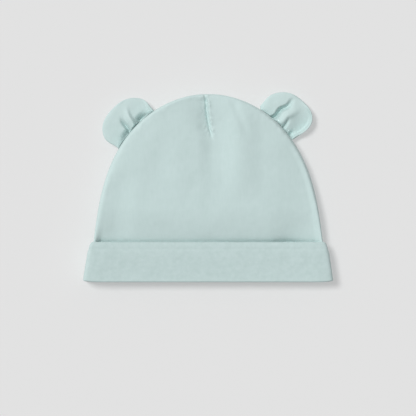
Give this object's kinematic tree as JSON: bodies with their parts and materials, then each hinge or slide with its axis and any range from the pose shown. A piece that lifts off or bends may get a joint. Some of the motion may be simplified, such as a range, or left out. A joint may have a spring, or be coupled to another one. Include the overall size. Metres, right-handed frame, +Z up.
{
  "type": "baby hat with ears",
  "caption": "Soft velour baby hat lying flat: a hollow domed crown with a pinched dart at the top, round padded ears in the side seams and a turned-up cuff round the open mouth.",
  "frame": {"origin": "under the middle of the whole hat, on the surface that it lies on", "axes": "+X to the right across the hat as it is seen from above, +Y from the cuff's fold to the top of the crown, +Z up out of the hat's front"},
  "size_m": [0.1792, 0.1352, 0.0175],
  "materials": {
    "velour": "pale sage green cotton velour with a short dense pile, matt with a soft sheen at the edges",
    "cuff_velour": "the same pale sage green velour folded up as a cuff, its pile brushed the other way and more mottled"
  },
  "bodies": {
    "root": {"crown_front": "velour", "crown_back": "velour", "cuff": "cuff_velour", "ear_left_front": "velour", "ear_left_back": "velour", "ear_right_front": "velour", "ear_right_back": "velour"}
  },
  "joints": []
}
